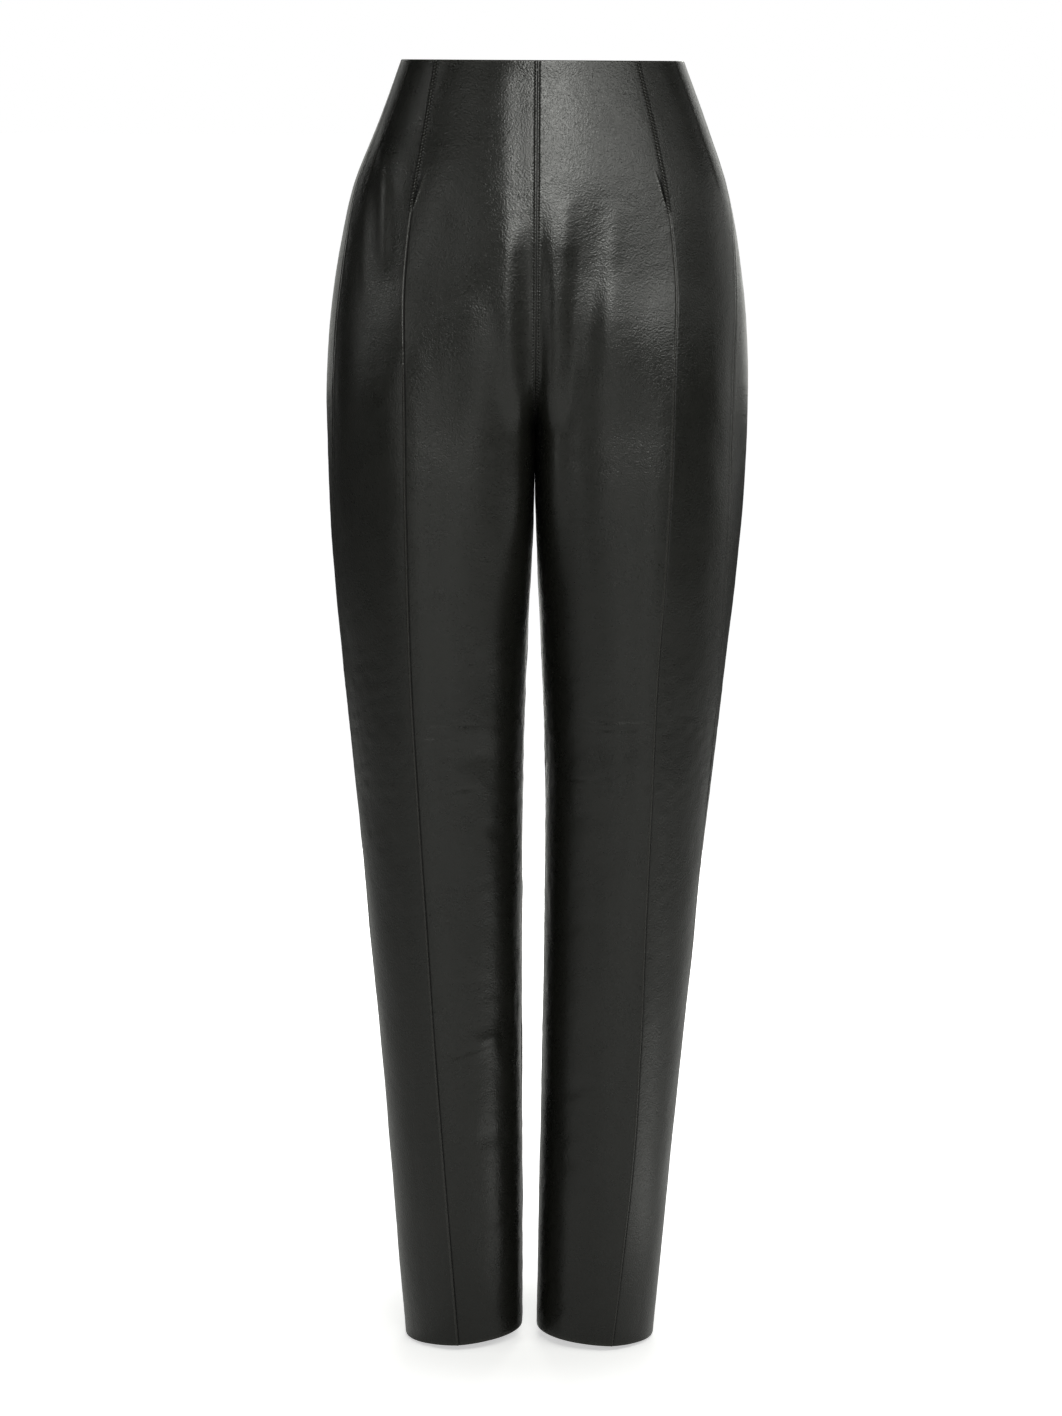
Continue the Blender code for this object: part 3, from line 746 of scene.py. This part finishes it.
def all_stitches(side, hand, thread):
    """Topstitching of one side: beside the centre front seam, on the dart's band and at the foot
    of the pintuck."""
    def tuck(down):
        return tuck_angle(side, down)

    def centre(down):
        return centre_angle(side, down, "front", GAP / 2)

    rows = [stitch_row(side, 2.5, CROTCH - 8, centre, -CENTRE_ROW, 0.06, -0.3, centred=True)]
    rows.append(stitch_row(side, 3, 11, centre, -CENTRE_ROW + 0.5, 0.1, 0.2, centred=True))
    for offset in (-BAND_ROW, BAND_ROW):
        rows.append(stitch_row(side, 2.5, FRONT_DART_END - 5, tuck, offset, BAND_HEIGHT - 0.14, 0.2))
    rows.append(stitch_row(side, FRONT_DART_END + 4, LENGTH - 3, tuck, -side * TUCK_FOOT, -0.3))
    return stitch_mesh(f"stitches_{hand}", rows, thread)


# ---------------- the zip

TAPE_TOP, TAPE_END = 4, 190
TAPE_WIDTH = 12
TAPE_FACES = (-1.85, -2.4)  # below the leather's surface
COIL_TOP, COIL_END = 22, 186
COIL_TURNS = 150
COIL_LIFT = -3.15
COIL_X = 1.3
WIRE_RADIUS = 0.26


def tape_grid(side, lift, rows, columns):
    down = np.linspace(TAPE_TOP, TAPE_END, rows)
    start = np.maximum(back_gap(down) + 0.09, 0.15)
    x = start[:, None] + (TAPE_WIDTH - start)[:, None] * np.linspace(0, 1, columns)
    down = np.broadcast_to(down[:, None], x.shape)
    angle = -angle_at(oval(side, down), x)
    return bare(side, down, angle) + outward(side, down, angle) * lift


def zip_tape(name, side, cloth):
    """One woven tape, inside the centre back seam."""
    rows, columns = 125, 17
    count = rows * columns
    points = [tape_grid(side, lift, rows, columns).reshape(-1, 3) for lift in TAPE_FACES]
    flip = side > 0
    faces = [*grid_faces(rows, columns, 0, not flip), *grid_faces(rows, columns, count, flip)]
    for (i, j), (k, m) in steps_round(rows, columns, 1):
        a, b = i * columns + j, k * columns + m
        face = [a, a + count, b + count, b]
        faces.append(face[::-1] if flip else face)
    made = add_mesh(name, np.concatenate(points), faces, [cloth])
    made.data.set_sharp_from_angle(angle=math.radians(50))
    return made


def zip_coil(name, side, nylon):
    """The coil of the zip along a tape's inner edge."""
    per_turn, sides = 10, 5
    t = np.arange(COIL_TURNS * per_turn + 1) / per_turn
    down = COIL_TOP + t * (COIL_END - COIL_TOP) / COIL_TURNS
    angle = -angle_at(oval(side, down), np.full_like(down, COIL_X))
    place, way = bare(side, down, angle), outward(side, down, angle)
    across = np.stack([np.full_like(down, float(side)), 0 * down, 0 * down], axis=1)
    turn = t * 2 * math.pi
    middle = place + way * (COIL_LIFT + 0.5 * np.sin(turn))[:, None]
    middle = middle + across * (0.85 * np.cos(turn))[:, None]
    ahead = normed(np.gradient(middle, axis=0))
    u = normed(np.cross(ahead, way))
    v = np.cross(u, ahead)
    ring = np.arange(sides) * 2 * math.pi / sides
    round_wire = u[:, None] * np.cos(ring)[:, None] + v[:, None] * np.sin(ring)[:, None]
    points = middle[:, None] + WIRE_RADIUS * round_wire
    return add_mesh(name, points.reshape(-1, 3), tube_faces(len(down), sides, 0), [nylon])


def rounded_copy(name, cad_node, body, material, width):
    """A CAD node's form with its edges eased."""
    made = linked(name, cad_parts[cad_node].data.copy())
    made.data.materials.clear()
    made.data.materials.append(material)
    weld = made.modifiers.new("weld", "WELD")
    weld.merge_threshold = 0.00002
    bevel = made.modifiers.new("bevel", "BEVEL")
    bevel.width = width * MM
    bevel.segments = 2
    bevel.limit_method = "ANGLE"
    bevel.angle_limit = math.radians(35)
    made.data.shade_smooth()
    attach(made, body)
    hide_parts(cad_node)


# ---------------- materials

NOISE_LOW, NOISE_HIGH = 0.3, 0.7  # a noise mostly stays between them


def new_material(name):
    material = bpy.data.materials.new(name)
    material.use_nodes = True
    tree = material.node_tree
    return material, tree, tree.nodes["Principled BSDF"]


def node(tree, kind, **settings):
    made = tree.nodes.new(kind)
    for key, value in settings.items():
        if key in made.inputs:
            made.inputs[key].default_value = value
        else:
            setattr(made, key, value)
    return made


def textured(tree, kind, at, out, **settings):
    """One of a texture's outputs, read at the given coordinates."""
    made = node(tree, f"ShaderNodeTex{kind}", **settings)
    tree.links.new(at, made.inputs["Vector"])
    return made.outputs[out]


def noise(tree, at, **settings):
    return textured(tree, "Noise", at, 0, **settings)


def math_node(tree, operation, *values):
    made = tree.nodes.new("ShaderNodeMath")
    made.operation = operation
    for socket, value in zip(made.inputs, values):
        if isinstance(value, (int, float)):
            socket.default_value = value
        else:
            tree.links.new(value, socket)
    return made.outputs[0]


def times(tree, a, b):
    return math_node(tree, "MULTIPLY", a, b)


def plus(tree, a, b):
    return math_node(tree, "ADD", a, b)


def mixed(tree, factor, first, second):
    made = tree.nodes.new("ShaderNodeMix")
    made.data_type = "RGBA"
    tree.links.new(factor, made.inputs["Factor"])
    # inputs 6 and 7 and output 2 are the colours
    for socket, value in ((made.inputs[6], first), (made.inputs[7], second)):
        if isinstance(value, tuple):
            socket.default_value = (*value, 1)
        else:
            tree.links.new(value, socket)
    return made.outputs[2]


def remap(tree, value, first, last, low=NOISE_LOW, high=NOISE_HIGH):
    """A value that goes from low to high, made to go from first to last."""
    made = tree.nodes.new("ShaderNodeMapRange")
    tree.links.new(value, made.inputs["Value"])
    for name, number in (("From Min", low), ("From Max", high), ("To Min", first), ("To Max", last)):
        made.inputs[name].default_value = number
    return made.outputs[0]


def bumped(tree, height, distance, strength, under=None):
    made = node(tree, "ShaderNodeBump", Distance=distance, Strength=strength)
    tree.links.new(height, made.inputs["Height"])
    if under is not None:
        tree.links.new(under, made.inputs["Normal"])
    return made.outputs["Normal"]


def on_object(tree):
    return tree.nodes.new("ShaderNodeTexCoord").outputs["Object"]


def coordinates(tree, shift, scale=(1, 1, 1)):
    mapping = node(tree, "ShaderNodeMapping", Location=(shift, shift * 0.7, -shift), Scale=scale)
    tree.links.new(on_object(tree), mapping.inputs["Vector"])
    return mapping.outputs[0]


def surface(tree, shader, colour, rough, normal=None):
    """Joins what a material has worked out to its shader."""
    for name, value in (("Base Color", colour), ("Roughness", rough), ("Normal", normal)):
        if value is not None:
            tree.links.new(value, shader.inputs[name])


def attribute(tree, name):
    made = tree.nodes.new("ShaderNodeAttribute")
    made.attribute_type = "GEOMETRY"
    made.attribute_name = name
    return made.outputs["Fac"]


def stitch_dimples(tree):
    """1 in the dimples that a row of stitches makes, and -1 on the leather that swells between them."""
    parts = tree.nodes.new("ShaderNodeSeparateXYZ")
    tree.links.new(on_object(tree), parts.inputs[0])
    turns = times(tree, parts.outputs["Z"], -2 * math.pi / (STITCH_PITCH * MM))
    beat = math_node(tree, "COSINE", math_node(tree, "SUBTRACT", turns, math.pi * STITCH_LONG))
    return times(tree, attribute(tree, "stitch"), beat)


def leather_material(name, shift):
    """Black leather with a fine pebble grain and a soft sheen, its edges, lips and ridges lighter with
    wear and painted highlight, and painted shade in its seams, darts and stitch dimples.
    """
    material, tree, shader = new_material(name)
    at = coordinates(tree, shift)
    broad = noise(tree, at, Scale=7.0, Detail=3.0)
    cloudy = noise(tree, at, Scale=45.0, Detail=5.0, Roughness=0.6)
    speck = noise(tree, at, Scale=420.0, Detail=4.0, Roughness=0.7)
    cells = textured(tree, "Voronoi", at, 0, Scale=820.0, feature="SMOOTH_F1")
    creasing = textured(tree, "Voronoi", at, 0, Scale=260.0, feature="DISTANCE_TO_EDGE")
    deep, worn = attribute(tree, "deep"), attribute(tree, "worn")
    dimple = stitch_dimples(tree)
    # the stitch dimples are painted darker too, as shade
    deep = math_node(tree, "MAXIMUM", deep, remap(tree, dimple, 0, 0.9, 0.25, 0.75))

    tone = plus(tree, times(tree, broad, 0.55), times(tree, cloudy, 0.45))
    tone = remap(tree, tone, 0, 1, 0.32, 0.68)
    colour = mixed(tree, tone, (0.0066, 0.0069, 0.0057), (0.0098, 0.0099, 0.0082))
    # Lighter on seam edges, dart flanks, lips, pintuck ridges and dart bands: wear and painted
    # highlight.
    colour = mixed(tree, times(tree, worn, 0.5), colour, (0.032, 0.031, 0.027))
    # Near black in seam gaps, dart grooves, the V mouths, band edges, the pintuck's foot and stitch
    # dimples: painted shade.
    colour = mixed(tree, times(tree, deep, 0.9), colour, (0.002, 0.002, 0.002))

    rough = remap(tree, cloudy, 0.275, 0.305)
    rough = plus(tree, rough, remap(tree, speck, -0.03, 0.035))
    rough = plus(tree, rough, times(tree, deep, 0.35))
    rough = math_node(tree, "SUBTRACT", rough, times(tree, worn, 0.05))

    grain = plus(tree, cells, times(tree, speck, 0.6))
    normal = bumped(tree, cloudy, 0.0005, 0.22)
    normal = bumped(tree, remap(tree, creasing, 0, 1, 0, 0.12), 0.00012, 0.22, normal)
    normal = bumped(tree, grain, 0.00026, 0.7, normal)
    normal = bumped(tree, times(tree, dimple, -1.0), 0.0005, 0.9, normal)
    surface(tree, shader, colour, rough, normal)
    return material


def lining_material(name):
    """The brushed, knitted back of the leather."""
    material, tree, shader = new_material(name)
    at = coordinates(tree, 3.1)
    cloudy = noise(tree, at, Scale=60.0, Detail=6.0, Roughness=0.7)
    fuzz = noise(tree, at, Scale=1400.0, Detail=3.0, Roughness=0.8)
    knit = textured(tree, "Wave", at, 1, Scale=320.0, Distortion=1.4, bands_direction="Z")
    colour = mixed(tree, remap(tree, cloudy, 0, 1), (0.018, 0.018, 0.018), (0.038, 0.037, 0.035))
    shader.inputs["Sheen Weight"].default_value = 0.25
    shader.inputs["Sheen Roughness"].default_value = 0.6
    height = plus(tree, knit, times(tree, fuzz, 1.4))
    rough = remap(tree, fuzz, 0.82, 0.98)
    surface(tree, shader, colour, rough, bumped(tree, height, 0.00025, 0.7))
    return material


def thread_material(name):
    """Twisted black polyester thread."""
    material, tree, shader = new_material(name)
    at = coordinates(tree, 1.7)
    twist = textured(tree, "Wave", at, 1, Scale=900.0, Distortion=2.0, bands_direction="DIAGONAL")
    speck = noise(tree, at, Scale=500.0, Detail=3.0)
    colour = mixed(tree, remap(tree, speck, 0, 1), (0.004, 0.004, 0.004), (0.011, 0.011, 0.010))
    shader.inputs["Specular IOR Level"].default_value = 0.25
    surface(tree, shader, colour, remap(tree, twist, 0.6, 0.8, 0, 1), bumped(tree, twist, 0.0001, 0.5))
    return material


def tape_material(name):
    """Black twill tape."""
    material, tree, shader = new_material(name)
    at = coordinates(tree, 0.4)
    warp = textured(tree, "Wave", at, 1, Scale=420.0, bands_direction="X")
    weft = textured(tree, "Wave", at, 1, Scale=520.0, bands_direction="Z")
    weave = times(tree, warp, weft)
    speck = noise(tree, at, Scale=300.0, Detail=4.0)
    tone = plus(tree, times(tree, weave, 0.6), times(tree, speck, 0.4))
    colour = mixed(tree, tone, (0.006, 0.006, 0.006), (0.022, 0.022, 0.022))
    rough = remap(tree, speck, 0.75, 0.92)
    surface(tree, shader, colour, rough, bumped(tree, weave, 0.0002, 0.7))
    return material


def nylon_material(name):
    material, tree, shader = new_material(name)
    at = coordinates(tree, 2.2)
    speck = noise(tree, at, Scale=240.0, Detail=3.0)
    colour = mixed(tree, remap(tree, speck, 0, 1), (0.008, 0.008, 0.008), (0.015, 0.015, 0.015))
    surface(tree, shader, colour, remap(tree, speck, 0.28, 0.4))
    return material


def metal_material(name, shift):
    """Black painted metal, rubbed a little brighter in places."""
    material, tree, shader = new_material(name)
    at = coordinates(tree, shift)
    cloudy = noise(tree, at, Scale=260.0, Detail=5.0, Roughness=0.65)
    scratches = noise(tree, coordinates(tree, shift, (1, 1, 0.12)), Scale=1800.0, Detail=3.0)
    rubbed = remap(tree, cloudy, 0, 1, 0.56, 0.72)
    colour = mixed(tree, rubbed, (0.022, 0.022, 0.023), (0.06, 0.06, 0.062))
    shader.inputs["Metallic"].default_value = 0.9
    rough = remap(tree, scratches, 0.26, 0.42)
    surface(tree, shader, colour, rough, bumped(tree, scratches, 0.00003, 0.5))
    return material


# ---------------- the trousers

thread = thread_material("thread")
lining = lining_material("leather_back")

for index, (side, hand) in enumerate(((1, "left"), (-1, "right"))):
    for face in ("front", "back"):
        panel_name = f"{face}_{hand}"
        shift = 0.37 * index + (0.21 if face == "back" else 0)
        leather = leather_material(f"{panel_name}_leather", shift)
        piece = leather_panel(f"{panel_name}_leather", side, face, leather, lining)
        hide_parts(panel_name)
    all_stitches(side, hand, thread)
    tape = zip_tape(f"zip_tape_{hand}_woven", side, tape_material(f"zip_tape_{hand}_twill"))
    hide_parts(f"zip_tape_{hand}")
    coil = zip_coil(f"zip_coil_{hand}", side, nylon_material(f"zip_coil_{hand}_nylon"))

paint = metal_material("zip_slider_paint", 0.9)
rounded_copy("zip_slider_detail", "zip_slider", "trousers", paint, 0.18)
paint = metal_material("zip_pull_paint", 1.9)
rounded_copy("zip_pull_detail", "zip_pull", "pull_tab", paint, 0.16)


# ---------------- floor, light and camera

FLOOR = -1.0595
FLOOR_REACH = 60.0
SHADOW_REACH = (1.063, 1.1)  # distances from the origin, which is above the floor
SHADOW_GLOW = 0.54


def floor():
    """A pale floor that runs out into the white of the backdrop. Close by, its glow for the camera is
    dimmer, a painted shadow, under which the lamps' own soft shadows show.
    """
    mesh = bpy.data.meshes.new("floor")
    r = FLOOR_REACH
    corners = [(-r, -r, FLOOR), (r, -r, FLOOR), (r, r, FLOOR), (-r, r, FLOOR)]
    mesh.from_pydata(corners, [], [(0, 1, 2, 3)])
    material, tree, shader = new_material("floor_paint")
    shader.inputs["Base Color"].default_value = (0.88, 0.88, 0.88, 1)
    shader.inputs["Roughness"].default_value = 0.9
    shader.inputs["Specular IOR Level"].default_value = 0.1
    shader.inputs["Emission Color"].default_value = (1, 1, 1, 1)
    reach = node(tree, "ShaderNodeVectorMath", operation="LENGTH")
    tree.links.new(on_object(tree), reach.inputs[0])
    # the glow is dimmer close to the trousers: a painted shadow round the hems
    white = remap(tree, reach.outputs["Value"], SHADOW_GLOW, 1.0, *SHADOW_REACH)
    path = tree.nodes.new("ShaderNodeLightPath")
    glow = times(tree, path.outputs["Is Camera Ray"], white)
    tree.links.new(glow, shader.inputs["Emission Strength"])
    mesh.materials.append(material)
    made = linked("floor", mesh)


LAMP_DISTANCE = 2.4
LAMP_AIM = (0, 0, -0.35)
LAMP_COLOUR = (0.99, 1.0, 0.955)
# Azimuth 0 is in front, and 90 is at the wearer's left. All in degrees but the radiance.
SOFTBOXES = [
    # name azimuth elevation wide tall radiance
    ("key", 4, 22, 20, 16, 12.6),
    ("key_side", 30, 22, 30, 16, 4.4),
    ("key_far", 55, 22, 20, 16, 3.3),
    ("front_low", 0, 1, 10, 30, 1.5),
    ("right_high", 85, 22, 24, 16, 0.8),
    ("right_wall", 119, 4, 36, 26, 0.62),
    ("left_near", -44, 8, 22, 32, 1.3),
    ("left_strip", -82, 20, 9, 14, 3.4),
    ("left_wall", -95, 10, 20, 18, 0.5),
    ("back_left", 158, 15, 26, 34, 1.3),
    ("back_right", -158, 15, 26, 34, 0.7),
    ("back_key", 177, 22, 24, 18, 7.0),
    ("back_low", 180, -3, 22, 28, 2.0),
]


def area_lamp(name, size, radiance, place):
    """A rectangular lamp that the camera doesn't see."""
    lamp = bpy.data.lights.new(name, "AREA")
    lamp.shape = "RECTANGLE"
    lamp.size, lamp.size_y = size
    lamp.energy = math.pi * lamp.size * lamp.size_y * radiance
    lamp.color = LAMP_COLOUR
    made = linked(name, lamp)
    made.matrix_world = place
    made.visible_camera = False


def softbox(name, azimuth, elevation, wide, tall, radiance):
    """A lamp that faces the trousers."""
    a, e = math.radians(azimuth), math.radians(elevation)
    away = Vector((math.sin(a) * math.cos(e), -math.cos(a) * math.cos(e), math.sin(e)))
    across = 2 * LAMP_DISTANCE * math.tan(math.radians(wide / 2)) * math.cos(e)
    up = 2 * LAMP_DISTANCE * math.tan(math.radians(tall / 2))
    turned = away.to_track_quat("Z", "Y").to_matrix().to_4x4()
    place = Matrix.Translation(Vector(LAMP_AIM) + away * LAMP_DISTANCE) @ turned
    area_lamp(name, (across, up), radiance, place)


def floor_glow():
    """Light that the floor throws up at the lower leg on the wearer's left."""
    place = Matrix.Translation((0.58, -0.15, FLOOR + 0.004)) @ Matrix.Rotation(math.pi, 4, "X")
    area_lamp("floor_glow", (0.5, 0.4), 1.1, place)


def surroundings():
    """A white backdrop for the eye, and a dim room for what the leather reflects."""
    world = bpy.data.worlds.new("studio")
    world.use_nodes = True
    tree = world.node_tree
    seen = tree.nodes["Background"]
    seen.inputs["Color"].default_value = (1, 1, 1, 1)
    room = node(tree, "ShaderNodeBackground", Color=(0.98, 1.0, 0.98, 1), Strength=0.03)
    path, mix = tree.nodes.new("ShaderNodeLightPath"), tree.nodes.new("ShaderNodeMixShader")
    tree.links.new(path.outputs["Is Camera Ray"], mix.inputs[0])
    tree.links.new(room.outputs[0], mix.inputs[1])
    tree.links.new(seen.outputs[0], mix.inputs[2])
    tree.links.new(mix.outputs[0], tree.nodes["World Output"].inputs["Surface"])
    bpy.context.scene.world = world


floor()
surroundings()
for row in SOFTBOXES:
    softbox(*row)
floor_glow()

CAMERA_PLACE = (-0.0021, -3.70, 0)
CAMERA_TILT = 8.13  # degrees down
CAMERA_ROLL = 0.0061  # as a slope
FOCAL, PICTURE_HEIGHT = 4536, 1416  # in the picture's pixels
SENSOR = 36

camera = linked("camera", bpy.data.cameras.new("camera"))
camera.data.sensor_fit = "VERTICAL"
camera.data.sensor_height = SENSOR
camera.data.lens = SENSOR * FOCAL / PICTURE_HEIGHT
camera.matrix_world = (
    Matrix.Translation(CAMERA_PLACE)
    @ Matrix.Rotation(math.radians(90 - CAMERA_TILT), 4, "X")
    @ Matrix.Rotation(math.atan(CAMERA_ROLL), 4, "Z")
)
bpy.context.scene.camera = camera
bpy.context.scene.view_settings.view_transform = "Standard"
